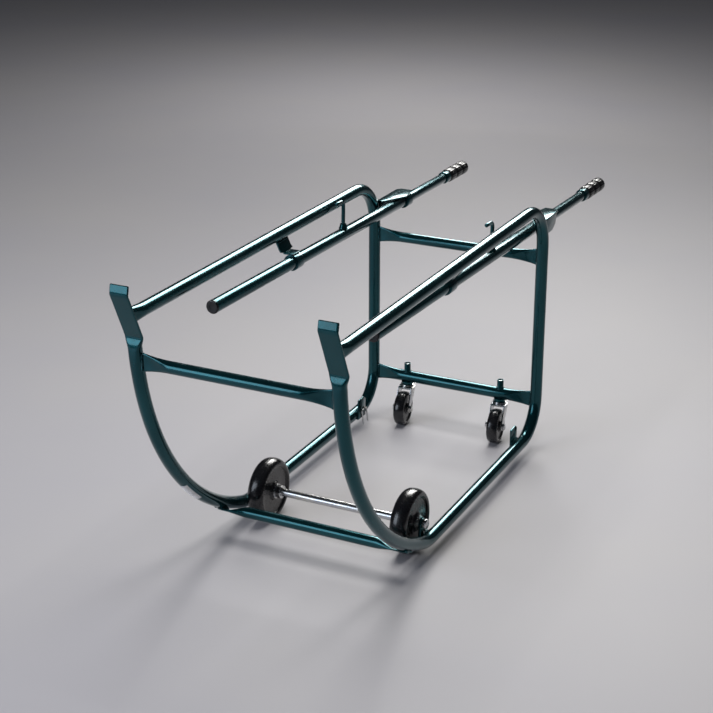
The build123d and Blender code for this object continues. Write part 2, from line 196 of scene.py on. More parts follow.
def slot_ring(w, h, n=48):
    """Points of a w by h stadium (a circle when w equals h), evenly spaced along it."""
    long_u = w >= h
    straight = abs(w - h)
    r = min(w, h) / 2
    total = 2 * straight + 2 * pi * r
    out = []
    for k in range(n):
        d = k / n * total if long_u else (k / n * total + total / 4) % total
        quarter = pi * r / 2
        if d < quarter:
            p = (straight / 2 + r * cos(d / r), r * sin(d / r))
        elif d < quarter + straight:
            p = (straight / 2 - (d - quarter), r)
        elif d < 3 * quarter + straight:
            a = pi / 2 + (d - quarter - straight) / r
            p = (-straight / 2 + r * cos(a), r * sin(a))
        elif d < 3 * quarter + 2 * straight:
            p = (-straight / 2 + (d - 3 * quarter - straight), -r)
        else:
            a = 3 * pi / 2 + (d - 3 * quarter - 2 * straight) / r
            p = (straight / 2 + r * cos(a), r * sin(a))
        out.append(p if long_u else (p[1], -p[0]))
    return out


def soften(points, radius, steps=4, closed=True):
    """Polyline with its corners turned into short curves."""
    pts = [Vector(p) for p in points]
    out = []
    for i, p in enumerate(pts):
        if not closed and i in (0, len(pts) - 1):
            out.append(p)
            continue
        a = pts[i - 1] - p
        b = pts[(i + 1) % len(pts)] - p
        start = p + a.normalized() * min(radius, a.length * 0.48)
        end = p + b.normalized() * min(radius, b.length * 0.48)
        for k in range(steps + 1):
            t = k / steps
            out.append(start * (1 - t) ** 2 + p * 2 * t * (1 - t) + end * t * t)
    return out


def cross_axes(axis):
    """Two unit vectors across an axis and each other."""
    axis = axis.normalized()
    u = Vector((0, 0, 1)).cross(axis)
    u = u.normalized() if u.length > 0.1 else Vector((1, 0, 0))
    return u, axis.cross(u)


def turned(name, profile, origin, axis, n=64, closed=False, wave=None):
    """Profile of (distance along axis, radius) pairs turned about the axis."""
    u, v = cross_axes(axis)
    axis = axis.normalized()
    rings = []
    for s, r in profile:
        ring = []
        for k in range(n):
            a = 2 * pi * k / n
            rr = wave(s, a, r) if wave else r
            ring.append(origin + axis * s + (u * cos(a) + v * sin(a)) * rr)
        rings.append(ring)
    return skin(name, rings, closed)


def ring_profile(s0, s1, outer, bore, edge=0.6):
    """Profile of a plain ring or tube with softened edges."""
    return [tuple(p) for p in soften([(s0, bore), (s0, outer), (s1, outer), (s1, bore)], edge, 3)]


def sweep(name, points, radius, n=20, wave=None):
    """Round bar along a polyline; its ends are rounded, and wave(k) scales it at point k."""
    pts = [Vector(p) for p in points]
    rings = []
    last_u = None
    for k, p in enumerate(pts):
        t = (pts[min(k + 1, len(pts) - 1)] - pts[max(k - 1, 0)]).normalized()
        if last_u is None:
            last_u, _ = cross_axes(t)
        u = (last_u - t * last_u.dot(t)).normalized()
        last_u = u
        v = t.cross(u)
        r = radius * (wave(k) if wave else 1.0)
        spokes = [u * cos(2 * pi * i / n) + v * sin(2 * pi * i / n) for i in range(n)]
        row = [[p + spoke * r for spoke in spokes]]
        if k in (0, len(pts) - 1):
            out = -t if k == 0 else t
            cap = []
            for a in (35.0, 65.0, 82.0):
                shift = out * radius * 0.5 * sin(radians(a))
                size = r * cos(radians(a))
                cap.append([p + shift + spoke * size for spoke in spokes])
            row = cap[::-1] + row if k == 0 else row + cap
        rings += row
    return skin(name, rings)


def bead(name, points, radius):
    """Weld bead: a rippled, slightly uneven bar along a seam."""
    rnd = random.Random(name)
    pts = [Vector(p) for p in points]
    fine = []
    for a, b in zip(pts, pts[1:]):
        steps = max(1, round((b - a).length / 0.7))
        fine += [a.lerp(b, k / steps) for k in range(steps)]
    fine.append(pts[-1])
    phase = rnd.uniform(0, 6)
    drift = [rnd.uniform(0.93, 1.07) for _ in range(len(fine) // 6 + 3)]

    def ripple(k):
        slow = mix(drift[k // 6], drift[k // 6 + 1], k % 6 / 6)
        return slow * (1 + 0.10 * sin(k * 2.2 + phase))
    return trim(sweep(name, fine, radius, 12, ripple), "frame", "green_enamel")


# Materials

FLOOR_COOL = (0.55, 0.54, 0.575)
FLOOR_WARM = (0.585, 0.57, 0.58)


class Nodes:
    """Small wrapper that adds and links shader nodes."""

    def __init__(self, name):
        self.mat = bpy.data.materials.new(name)
        self.mat.use_nodes = True
        self.tree = self.mat.node_tree
        self.shader = self.tree.nodes["Principled BSDF"]
        self.where = self.tree.nodes.new("ShaderNodeTexCoord").outputs["Object"]

    def add(self, kind, **inputs):
        made = self.tree.nodes.new("ShaderNode" + kind)
        for key, value in inputs.items():
            self.feed(made.inputs[key.replace("_", " ")], value)
        return made

    def feed(self, socket, value):
        if isinstance(value, bpy.types.NodeSocket):
            self.tree.links.new(value, socket)
        else:
            socket.default_value = value

    def noise(self, scale, detail=3.0, rough=0.5, stretch=None, where=None):
        where = where or self.where
        if stretch:
            squeeze = self.add("Mapping", Vector=where)
            squeeze.inputs["Scale"].default_value = stretch
            where = squeeze.outputs["Vector"]
        made = self.add("TexNoise", Vector=where, Scale=scale, Detail=detail, Roughness=rough)
        return made.outputs["Fac"]

    def cells(self, scale):
        return self.add("TexVoronoi", Vector=self.where, Scale=scale).outputs["Distance"]

    def remap(self, value, lo, hi, to_lo, to_hi):
        made = self.add("MapRange", Value=value)
        for key, number in (("From Min", lo), ("From Max", hi), ("To Min", to_lo), ("To Max", to_hi)):
            made.inputs[key].default_value = number
        return made.outputs["Result"]

    def maths(self, operation, a, b):
        made = self.tree.nodes.new("ShaderNodeMath")
        made.operation = operation
        self.feed(made.inputs[0], a)
        self.feed(made.inputs[1], b)
        return made.outputs[0]

    def blend(self, fac, a, b):
        made = self.tree.nodes.new("ShaderNodeMix")
        made.data_type = "RGBA"
        self.feed(made.inputs["Factor"], fac)
        self.feed(made.inputs["A"], a if isinstance(a, bpy.types.NodeSocket) else (*a, 1))
        self.feed(made.inputs["B"], b if isinstance(b, bpy.types.NodeSocket) else (*b, 1))
        return made.outputs["Result"]

    def upward(self):
        """How far a surface faces up, from 0 to 1."""
        normal = self.tree.nodes.new("ShaderNodeNewGeometry").outputs["Normal"]
        split = self.add("SeparateXYZ", Vector=normal)
        return self.remap(split.outputs["Z"], 0.2, 1.0, 0.0, 1.0)

    def edges(self):
        """Convex edges, from the mesh's own curvature."""
        sharp = self.tree.nodes.new("ShaderNodeNewGeometry").outputs["Pointiness"]
        return self.remap(sharp, 0.53, 0.62, 0.0, 1.0)

    def set(self, **inputs):
        for key, value in inputs.items():
            self.feed(self.shader.inputs[key.replace("_", " ")], value)

    def bump(self, height, strength, distance):
        made = self.add("Bump", Height=height, Strength=strength, Distance=distance)
        self.set(Normal=made.outputs["Normal"])


def green_enamel():
    """Glossy dark green stoving enamel: orange peel, faint dust on top, scuffed edges."""
    m = Nodes("green_enamel")
    tone = m.blend(m.remap(m.noise(9.0), 0.35, 0.65, 0, 1), (0.006, 0.062, 0.074), (0.010, 0.080, 0.092))
    dust = m.maths("MULTIPLY", m.upward(), m.remap(m.noise(60.0, 6.0, 0.7), 0.5, 0.8, 0.0, 0.10))
    tone = m.blend(dust, tone, (0.16, 0.19, 0.18))
    worn = m.maths("MULTIPLY", m.edges(), m.remap(m.noise(180.0, 4.0, 0.6), 0.52, 0.62, 0.0, 0.6))
    tone = m.blend(worn, tone, (0.05, 0.10, 0.095))
    rough = m.remap(m.noise(35.0, 5.0, 0.6), 0.3, 0.7, 0.16, 0.26)
    scuff = m.remap(m.noise(70.0, 4.0, 0.7, (1.0, 0.12, 1.0)), 0.62, 0.72, 0.0, 0.12)
    m.set(Base_Color=tone, Metallic=0.86, Roughness=m.maths("ADD", rough, scuff), IOR=1.35)
    m.set(Coat_Weight=0.5, Coat_Roughness=m.remap(m.noise(18.0), 0.3, 0.7, 0.02, 0.06), Coat_IOR=1.4)
    peel = m.noise(520.0, 2.0)
    m.bump(peel, 0.12, 0.0004)
    return m.mat


def zinc_steel():
    """Bright zinc plate: drawn streaks and a faint blue and straw passivation tint."""
    m = Nodes("zinc_steel")
    tone = m.blend(m.remap(m.noise(40.0), 0.35, 0.65, 0, 1), (0.60, 0.62, 0.66), (0.72, 0.71, 0.67))
    spots = m.remap(m.cells(260.0), 0.0, 0.25, 0.8, 1.0)
    tone = m.blend(spots, (0.42, 0.42, 0.42), tone)
    streak = m.noise(220.0, 5.0, 0.6, (0.06, 1.0, 1.0))
    m.set(Base_Color=tone, Metallic=1.0, Roughness=m.remap(streak, 0.3, 0.7, 0.16, 0.34))
    m.bump(streak, 0.10, 0.0003)
    return m.mat


def wheel_rubber():
    """Glossy black moulded rubber with fine scuffs and a little floor dust."""
    m = Nodes("wheel_rubber")
    cloudy = m.remap(m.noise(45.0, 5.0), 0.4, 0.7, 0, 1)
    tone = m.blend(cloudy, (0.0045, 0.0045, 0.006), (0.009, 0.009, 0.010))
    grit = m.remap(m.noise(300.0, 4.0, 0.7), 0.62, 0.76, 0.0, 0.14)
    tone = m.blend(grit, tone, (0.07, 0.068, 0.062))
    rough = m.remap(m.noise(80.0, 6.0, 0.65), 0.3, 0.7, 0.16, 0.34)
    m.set(Base_Color=tone, Roughness=rough, IOR=1.52, Coat_Weight=0.35, Coat_Roughness=0.16)
    m.bump(m.noise(900.0, 3.0), 0.15, 0.0003)
    return m.mat


def black_vinyl():
    """Dipped black vinyl: soft sheen and a fine pebble."""
    m = Nodes("black_vinyl")
    tone = m.blend(m.noise(120.0, 4.0), (0.004, 0.004, 0.005), (0.010, 0.010, 0.011))
    m.set(Base_Color=tone, Roughness=m.remap(m.noise(150.0, 5.0), 0.3, 0.7, 0.14, 0.28), IOR=1.5)
    m.bump(m.cells(1400.0), 0.10, 0.0002)
    return m.mat


def bushing_plastic():
    """Matt natural nylon."""
    m = Nodes("bushing_plastic")
    tone = m.blend(m.noise(90.0), (0.30, 0.30, 0.29), (0.40, 0.40, 0.385))
    m.set(Base_Color=tone, Roughness=m.remap(m.noise(200.0), 0.3, 0.7, 0.38, 0.55))
    m.bump(m.noise(700.0), 0.1, 0.0003)
    return m.mat


def label_film():
    """White film with slightly soiled, uneven tone."""
    m = Nodes("label_film")
    tone = m.blend(m.remap(m.noise(110.0, 5.0), 0.45, 0.75, 0, 1), (0.93, 0.94, 0.95), (0.80, 0.81, 0.80))
    m.set(Base_Color=tone, Roughness=m.remap(m.noise(60.0), 0.3, 0.7, 0.2, 0.38))
    m.bump(m.noise(160.0), 0.15, 0.0004)
    return m.mat


def floor_paper():
    """Pale seamless floor with faint cloudy patches, cool and warm."""
    m = Nodes("floor_paper")
    tone = m.blend(m.remap(m.noise(1.3, 3.0), 0.3, 0.7, 0, 1), FLOOR_COOL, FLOOR_WARM)
    m.set(Base_Color=tone, Roughness=0.62)
    m.bump(m.noise(240.0, 2.0), 0.04, 0.0005)
    return m.mat


MATS = {
    "green_enamel": green_enamel(),
    "zinc_steel": zinc_steel(),
    "wheel_rubber": wheel_rubber(),
    "black_vinyl": black_vinyl(),
    "bushing_plastic": bushing_plastic(),
    "label_film": label_film(),
}


def dress_cad_nodes():
    """Every CAD node gets its slot's material, whether it shows or is replaced."""
    for node, slot in NODE_SLOT.items():
        mesh = frame["nodes"][node].data
        mesh.materials.clear()
        mesh.materials.append(MATS[slot])


# Side frames

def blade_back(z):
    """Y of the blade's rear face at height z."""
    lean = (BEND - FOOT).normalized()
    back = FOOT + Vector((lean.y, -lean.x)) * BLADE_T / 2
    return back.x + (z - back.y) * lean.x / lean.y


def blade_stations():
    """Stations down the blade to the hoop: point, direction, width, thickness, front limit."""
    lean = (FOOT - BEND).normalized()
    lip = (BEND - TIP).normalized()
    flat = (BLADE_W, BLADE_T, BLADE_T)
    out = [
        (TIP, lip, BLADE_W - 1.8, BLADE_T - 1.8, BLADE_T),
        (TIP + lip * 0.9, lip, *flat),
        (BEND - lip * 5, lip, *flat),
        (BEND - lip * 2, (lip * 0.8 + lean * 0.2).normalized(), *flat),
        (BEND + lean * 1.0, (lip + lean).normalized(), *flat),
        (BEND + lean * 4, lean, *flat),
    ]
    run = (FOOT - BEND).length
    out += [(BEND + lean * (run * k / 8), lean, *flat) for k in range(1, 8)]
    top, along = hoop_point(HOOP_TOP_ANGLE)
    for k in range(13):
        q = k / 12
        point = FOOT.lerp(top, q)
        roundness = ease(q * 1.05)
        w = mix(BLADE_W, TUBE, roundness)
        h = mix(BLADE_T, TUBE, roundness)
        out.append((point, lean.lerp(along, ease(q)).normalized(), w, h, front_limit(point.y)))
    return out


def front_limit(z):
    """How far the front of the section may stand out, where the press clamps it."""
    q = max(0.0, CREASE_TOP - z) / (CREASE_TOP - CREASE_END)
    return min(TUBE, mix(BLADE_T / 2 + 0.2, TUBE_R, q ** 0.66))


def clamped(v, limit):
    """Depth v held under the limit, with a rounded transition."""
    return v if v <= 0 else v * (1 + (v / limit) ** 8) ** (-1 / 8)


def hoop_point(angle):
    """Point of the long arc, and its downward direction, at an angle below level."""
    point = HOOP_C + Vector((-cos(angle), -sin(angle))) * HOOP_R
    return point, Vector((sin(angle), -cos(angle)))


def arc_stations(centre, radius, start, end, count, squash=0.0):
    """Stations on an arc from angle start to end, slightly ovalled at its middle."""
    out = []
    for k in range(1, count + 1):
        q = k / count
        a = radians(mix(start, end, q))
        point = centre + Vector((cos(a), sin(a))) * radius
        along = Vector((-sin(a), cos(a)))
        oval = squash * sin(pi * q)
        out.append((point, along, TUBE * (1 + oval * 0.5), TUBE * (1 - oval), TUBE))
    return out


def tube_stations():
    """Stations of the hoop, bottom rail, post and top rail."""
    out = []
    reach = HOOP_R - TOE_R
    toe_z = BOTTOM_Z + TOE_R
    toe = Vector((HOOP_C.x - sqrt(reach ** 2 - (HOOP_C.y - toe_z) ** 2), toe_z))
    join = atan2(HOOP_C.y - toe.y, HOOP_C.x - toe.x)
    for k in range(1, 41):
        point, along = hoop_point(mix(HOOP_TOP_ANGLE, join, k / 40))
        out.append((point, along, TUBE, TUBE, front_limit(point.y)))
    out += arc_stations(toe, TOE_R, 180 + degrees(join), 270, 6)
    low = Vector((POST_Y - LOW_BEND, BOTTOM_Z + LOW_BEND))
    for q in (0.25, 0.5, 0.75, 0.97):
        out.append((Vector((mix(toe.x, low.x, q), BOTTOM_Z)), Vector((1, 0)), TUBE, TUBE, TUBE))
    out += arc_stations(low, LOW_BEND, -90, 0, 16, OVAL)
    high = Vector((POST_Y - HIGH_BEND, RAIL_Z - HIGH_BEND))
    for q in (0.03, 0.35, 0.65, 0.97):
        out.append((Vector((POST_Y, mix(low.y, high.y, q))), Vector((0, 1)), TUBE, TUBE, TUBE))
    out += arc_stations(high, HIGH_BEND, 0, 90, 16, OVAL)
    end = blade_back(RAIL_Z)
    for q in (0.03, 0.3, 0.6, 0.93):
        out.append((Vector((mix(high.x, end, q), RAIL_Z)), Vector((-1, 0)), TUBE, TUBE, TUBE))
    for k in range(1, 11):
        q = k / 10
        w = mix(TUBE, PRESS_W, ease(q))
        h = mix(TUBE, PRESS_H, ease(q))
        out.append((Vector((end + PRESS_LEN * (1 - q), RAIL_Z)), Vector((-1, 0)), w, h, TUBE))
    return out


def side_frame(name, side):
    """One bent tube from the blade's tip, round the hoop, rail and post, back to the blade."""
    rings = []
    for point, along, w, h, limit in blade_stations() + tube_stations():
        normal = Vector((along.y, -along.x))
        ring = []
        for u, v in slot_ring(w, h, 56):
            at = point + normal * clamped(v, limit)
            ring.append(Vector((side * RAIL_X + u, at.x, at.y)))
        rings.append(ring)
    for p in rings[-1]:
        p.y = blade_back(p.z) + 0.05
    stand_in(skin(name + "_frame_tube", rings, crease=28.0), name + "_side_frame")


def rail_weld(name, side):
    """Weld round the rail's pressed end where it meets the blade's rear face."""
    line = []
    for k in range(41):
        a = 2 * pi * k / 40
        u = (PRESS_W / 2 + 0.6) * cos(a)
        z = RAIL_Z + (PRESS_H / 2 + 0.5) * sin(a)
        line.append((side * RAIL_X + u, blade_back(z) + 0.6, z))
    bead(name + "_rail_weld", line, 1.9)


# Crossbars

def crossbar(name, y, z, od):
    """Round bar along X whose ends are pressed flat, thin along Y."""
    half = RAIL_X - TUBE_R + 1.2
    flare_end = half - TAB_LEN
    flare_start = flare_end - FLARE_LEN
    sections = [(-half, 1.0), (-half + 0.6, 1.0)]
    sections += [(-mix(flare_end, flare_start, k / 16), 1 - k / 16) for k in range(17)]
    sections += [(-flare_start * (1 - q), 0.0) for q in (0.25, 0.5, 0.75, 1.0)]
    sections += [(-x, press) for x, press in reversed(sections[:-1])]
    rings = []
    for x, press in sections:
        w = mix(od, TAB_T, ease(press * 1.08))
        h = mix(od, TAB_H, press ** 1.9)
        pinch = 1.6 * sin(pi * press) if 0 < press < 1 else 0.0
        ring = []
        for u, v in slot_ring(w, h, 48):
            dent = pinch * max(0.0, 1 - (2 * v / h) ** 2) * (1 if u > 0 else -1)
            ring.append(Vector((x, y + u - dent, z + v)))
        rings.append(ring)
    stand_in(skin(name + "_bar", rings), name)
    for side_name, side in SIDES:
        for face in (-1, 1):
            x = side * (RAIL_X - TUBE_R + 0.4)
            line = [(x, y + face * 2.6, z - TAB_H / 2 + 2), (x, y + face * 2.6, z + TAB_H / 2 - 2)]
            facing = "front" if face < 0 else "rear"
            bead(name + "_weld_" + side_name + "_" + facing, line, 2.3)


def under_bar():
    """Bar slung under the hoops, with flat ends pressed up against them."""
    on_hoop = Vector((UNDER_Y, HOOP_C.y - sqrt(HOOP_R ** 2 - (UNDER_Y - HOOP_C.x) ** 2)))
    out = (on_hoop - HOOP_C).normalized()
    across = Vector((-out.y, out.x))
    half = RAIL_X + UNDER_OVERHANG
    flare_start = half - UNDER_FLARE
    flare_end = RAIL_X - 18.0
    sections = [(half, 1.0, 6.0), (half - 1.2, 1.0, 12.0), (half - 5.0, 1.0, 18.5)]
    sections += [(half - 11.0, 1.0, 25.0), (RAIL_X - 8.0, 1.0, 31.0), (flare_end, 1.0, UNDER_FLAT_W)]
    for k in range(1, 15):
        q = 1 - ease(k / 14)
        sections.append((mix(flare_end, flare_start, k / 14), q, mix(BAR, UNDER_FLAT_W, q)))
    sections += [(flare_start * (1 - q), 0.0, BAR) for q in (0.25, 0.5, 0.75, 1.0)]
    sections += [(-x, press, w) for x, press, w in reversed(sections[:-1])]
    rings = []
    for x, press, w in sections:
        h = mix(BAR, TAB_T, press)
        centre = on_hoop + out * mix(TUBE_R + TAB_T / 2 - 5.0, TUBE_R + TAB_T / 2, press)
        ring = []
        for u, v in slot_ring(max(w, h + 0.1), h, 48):
            at = centre + across * u + out * v
            ring.append(Vector((x, at.x, at.y)))
        rings.append(ring)
    stand_in(skin("under_bar", rings), "front_lower_crossbar")
    seat = on_hoop + out * (TUBE_R + 0.2)
    for side_name, side in SIDES:
        for way in (-1, 1):
            edge = "_in" if way * side < 0 else "_out"
            line = []
            for q in (-1.0, -0.5, 0.0, 0.5, 1.0):
                at = seat + across * 13.0 * q - out * (1.6 - 1.2 * abs(q))
                line.append((side * RAIL_X + way * 7.4, at.x, at.y))
            bead("under_bar_weld_" + side_name + edge, line, 2.0)


# Axle and wheels

AXLE = box_mm("front_axle")
AXLE_C = (AXLE[0] + AXLE[1]) / 2
AXLE_R = (AXLE[1].z - AXLE[0].z) / 2
X = Vector((1, 0, 0))


def axle_set():
    """Chamfered axle rod, its washers and set collars, and domed push nuts on its ends."""
    half = AXLE[1].x
    chamfer = 1.2
    profile = [(-half, AXLE_R - chamfer), (-half + chamfer, AXLE_R), (half - chamfer, AXLE_R),
               (half, AXLE_R - chamfer)]
    stand_in(turned("axle_rod", profile, AXLE_C, X, 64), "front_axle")
    for node, outer in (("axle_washers", 15.0), ("axle_collars", 13.0)):
        group = []
        for lo, hi in shells_x(frame["nodes"][node].data):
            profile = ring_profile(lo, hi, outer, AXLE_R + 0.08, 0.35)
            group.append(turned(node + "_part", profile, AXLE_C, X, 56, closed=True))
        stand_in(joined(node.replace("axle", "turned"), group), node)
    caps = []
    for side in (-1, 1):
        start = half - 3.2
        bore = AXLE_R + 0.05
        loop = [(half + 0.05, 0.3), (half + 0.05, bore), (start, bore), (start, 10.5), (start + 3.2, 10.5),
                (start + 4.5, 8.2), (start + 4.6, 2.0), (start + 4.6, 0.3)]
        loop = [tuple(p) for p in soften(loop, 0.5, 3, False)]
        caps.append(turned("push_nut_part", loop, AXLE_C, X * side, 56))
    stand_in(joined("push_nuts", caps), "axle_caps")


def shells_x(mesh):
    """X extents, in millimetres, of the separate shells of a mesh."""
    bm = bmesh.new()
    bm.from_mesh(mesh)
    bmesh.ops.remove_doubles(bm, verts=bm.verts, dist=1e-6)
    left = set(bm.verts)
    spans = []
    while left:
        todo = [left.pop()]
        xs = []
        while todo:
            vert = todo.pop()
            xs.append(vert.co.x / MM)
            for edge in vert.link_edges:
                other = edge.other_vert(vert)
                if other in left:
                    left.remove(other)
                    todo.append(other)
        spans.append((min(xs), max(xs)))
    bm.free()
    return sorted(spans)


def joined(name, objects):
    """One object with the meshes of several, which are removed."""
    bm = bmesh.new()
    for obj in objects:
        bm.from_mesh(obj.data)
        bpy.data.objects.remove(obj)
    mesh = bpy.data.meshes.new(name)
    bm.to_mesh(mesh)
    bm.free()
    mesh.polygons.foreach_set("use_smooth", [True] * len(mesh.polygons))
    mesh.set_sharp_from_angle(angle=radians(35))
    made = bpy.data.objects.new(name, mesh)
    bpy.context.scene.collection.objects.link(made)
    return made


def wheel_outline(r, w, shoulder, boss, bore, dish):
    """Half profile of a moulded wheel from bore to crown: (axial, radius)."""
    h = w / 2
    side = [(h, bore), (h, boss), (h - dish, boss + 2.2), (h - dish - 0.3, shoulder - 5.0),
            (h - 1.4, shoulder - 3.6), (h - 0.1, shoulder - 1.4)]
    half = [tuple(p) for p in soften(side, 1.3, 4, False)][:-1]
    rise = r - shoulder
    for k in range(15):
        a = pi / 2 * k / 14
        x = h * cos(a) ** 0.86
        y = shoulder + rise * sin(a) ** 0.94
        half.append((x, y))
    ridge = [(0.55, r - 0.02), (0.35, r)]
    return half[:-1] + ridge


def wheel(name, node, centre, axis, r, w, shoulder, boss, bore, dish):
    """Moulded wheel with a rounded tread and dished sides, standing in for a node."""
    half = wheel_outline(r, w, shoulder, boss, bore, dish)
    loop = half + [(-x, y) for x, y in reversed(half)]
    stand_in(turned(name, loop, centre, axis, 96, closed=True), node)


def front_wheels():
    """Front wheels and their nylon bushings, turned about the axle."""
    for name, _ in SIDES:
        lo, hi = box_mm(name + "_front_wheel")
        c = (lo + hi) / 2
        wheel(name + "_tyre", name + "_front_wheel", c, X,
              r=63.5, w=hi.x - lo.x, shoulder=52.0, boss=17.5, bore=10.0, dish=4.0)
        profile = ring_profile(-17.35, 17.35, 10.0, 8.0, 0.4)
        stand_in(turned(name + "_nylon_bush", profile, c, X, 48, closed=True), name + "_wheel_bushing")


def caster_wheels():
    """Caster wheels and their bushings, turned about each wheel's own joint axis."""
    for name, _ in SIDES:
        joint = next(j for j in frame["joints"] if j["name"] == name + "_caster_wheel_spin")
        c = Vector(joint["pos_m"]) / MM
        axis = Vector(joint["axis"])
        wheel(name + "_caster_tyre", name + "_caster_wheel", c, axis,
              r=38.1, w=24.0, shoulder=32.0, boss=10.5, bore=6.0, dish=3.0)
        profile = ring_profile(-13.2, 13.2, 6.0, 4.05, 0.3)
        bush = turned(name + "_caster_sleeve", profile, c, axis, 40, closed=True)
        stand_in(bush, name + "_caster_bushing")


# Parts that keep their CAD form, with softened edges

def softened(node, width, name):
    """Copy of a CAD node with its coplanar facets merged and its edges rounded."""
    bm = bmesh.new()
    bm.from_mesh(frame["nodes"][node].data)
    bmesh.ops.remove_doubles(bm, verts=bm.verts, dist=2e-6)
    bmesh.ops.dissolve_limit(bm, angle_limit=radians(0.6), verts=bm.verts, edges=bm.edges)
    mesh = bpy.data.meshes.new(name)
    bm.to_mesh(mesh)
    bm.free()
    obj = bpy.data.objects.new(name, mesh)
    bpy.context.scene.collection.objects.link(obj)
    bevel = obj.modifiers.new("bevel", "BEVEL")
    bevel.width = width * MM
    bevel.segments = 2
    bevel.limit_method = "ANGLE"
    bevel.angle_limit = radians(32)
    shaped = bpy.data.meshes.new_from_object(obj.evaluated_get(bpy.context.evaluated_depsgraph_get()))
    obj.modifiers.clear()
    obj.data = shaped
    shaped.materials.clear()
    shaped.polygons.foreach_set("use_smooth", [True] * len(shaped.polygons))
    shaped.set_sharp_from_angle(angle=radians(38))
    return stand_in(obj, node)


# Handles

def on_guide(side, s):
    """Point on a guide axis at distance s from its front end."""
    p = GUIDE_A + GUIDE_D * s
    return Vector((-side * p.x, p.y, p.z))


def guide_axis(side):
    """Direction of a guide, from front to rear."""
    return Vector((-side * GUIDE_D.x, GUIDE_D.y, GUIDE_D.z))


def guide_turned(piece, node, side, profile, n=64, closed=False, wave=None):
    """A turned piece on a guide's axis, standing in for a node."""
    obj = turned(piece, profile, on_guide(side, 0), guide_axis(side), n, closed, wave)
    return stand_in(obj, node)


def fluted(s, a, r):
    """Lengthwise flutes of the grip, deepest on its fat rings."""
    if r < NECK_R:
        return r
    depth = 0.55 * ease((r - NECK_R) / 2.5)
    return r - depth * (0.5 + 0.5 * cos(18 * a)) ** 2


def grip_profile(start, end):
    """Three fat rings with narrow necks, closed at the rear over the tube's end."""
    cap = 2.6
    pitch = (end + cap - start) / GRIP_RINGS
    profile = [(start, GRIP_BORE), (start, 12.9)]
    for k in range(GRIP_RINGS):
        s = start + k * pitch
        for q, r in ((0.04, NECK_R), (0.09, 14.6), (0.16, 15.5), (0.30, 15.75), (0.50, 15.75),
                     (0.70, 15.75), (0.84, 15.5), (0.91, 14.6), (0.96, NECK_R)):
            profile.append((s + q * pitch, r))
    profile += [(end + 2.3, 12.0), (end + cap, 10.5), (end + cap, 1.0)]
    return profile + [(end + 0.02, 1.0), (end + 0.02, GRIP_BORE)]


def handle(name, side):
    """Guide tube with its plug and two welded collars, and the handle that slides in it."""
    tube = ring_profile(0, GUIDE_LEN, TUBE_R, 11.2, 0.35)
    guide_turned(name + "_outer_tube", name + "_guide_tube", side, tube, closed=True)
    inner = ring_profile(HANDLE_START, HANDLE_END, HANDLE_R, 9.6, 0.3)
    guide_turned(name + "_inner_tube", name + "_handle_tube", side, inner, closed=True)
    u, v = cross_axes(guide_axis(side))
    for part, s0, s1 in COLLARS:
        profile = ring_profile(s0, s1, COLLAR_R, TUBE_R, 1.1)
        guide_turned(name + "_" + part + "_ring", name + "_" + part, side, profile, closed=True)
        for k, s in enumerate((s0 - 0.2, s1 + 0.2)):
            line = []
            for i in range(33):
                a = 2 * pi * i / 32
                line.append(on_guide(side, s) + (u * cos(a) + v * sin(a)) * (TUBE_R + 0.6))
            bead(name + "_" + part + "_weld_" + str(k), line, 1.2)
    stop = [(STOP_START, HANDLE_R), (STOP_START, 12.6), (STOP_START + 2.5, 13.8), (GRIP_START - 1.2, 13.8),
            (GRIP_START, 12.9), (GRIP_START, HANDLE_R)]
    stop = [tuple(p) for p in soften(stop, 0.8, 3)]
    guide_turned(name + "_stop_ring", name + "_stop_collar", side, stop, closed=True)
    loop = grip_profile(GRIP_START, HANDLE_END)
    guide_turned(name + "_ribbed_grip", name + "_grip", side, loop, 108, closed=True, wave=fluted)
    plug = [(14.0, 0.6), (14.0, 10.6), (13.4, 11.2), (0.0, 11.2), (0.0, 12.2), (-0.5, 12.9),
            (-1.6, 12.8), (-2.3, 11.6), (-2.6, 9.0), (-2.1, 6.5), (-1.7, 3.0), (-1.6, 0.6)]
    guide_turned(name + "_end_plug", name + "_guide_plug", side, plug)


def lock_axes(side):
    """Axes of a lock screw: out of the guide, and forward along it."""
    along = guide_axis(side)
    up = along.cross(X)
    up = up if up.z > 0 else -up
    return up.normalized(), -along


def lock(name, side):
    """L-shaped lock screw and the cone boss that it turns in."""
    up, ahead = lock_axes(side)
    foot = on_guide(side, LOCK_S)
    rod = [foot + up * 11.2, foot + up * 14, foot + up * 30, foot + up * (LOCK_RISE - 4)]
    for k in range(11):
        a = pi / 2 * k / 10
        rod.append(foot + up * (LOCK_RISE + LOCK_BEND * sin(a)) + ahead * LOCK_BEND * (1 - cos(a)))
    rod += [foot + up * (LOCK_RISE + LOCK_BEND) + ahead * q for q in (14, 24, 31.8)]
    stand_in(sweep(name + "_lock_rod", rod, LOCK_R, 24), name + "_lock_screw")
    boss = [(11.6, 4.1), (11.6, 9.3), (12.6, 9.2), (15.5, 8.1), (19.0, 7.1), (21.4, 6.7), (22.0, 6.1),
            (22.0, 4.1)]
    stand_in(turned(name + "_lock_cone", boss, foot, up, 48, closed=True), name + "_lock_boss")


# Straps, gussets and fittings

def strap(name, side):
    """Front strap and its weld to the rail."""
    node = name + "_guide_strap"
    softened(node, 0.6, name + "_strap_plate")
    lo, hi = box_mm(node)
    x = (hi.x if side > 0 else lo.x) - side * 2.0
    line = [(x, lo.y + 3, hi.z - 2.6), (x, hi.y - 3, hi.z - 2.6)]
    bead(name + "_strap_rail_weld", line, 2.2)


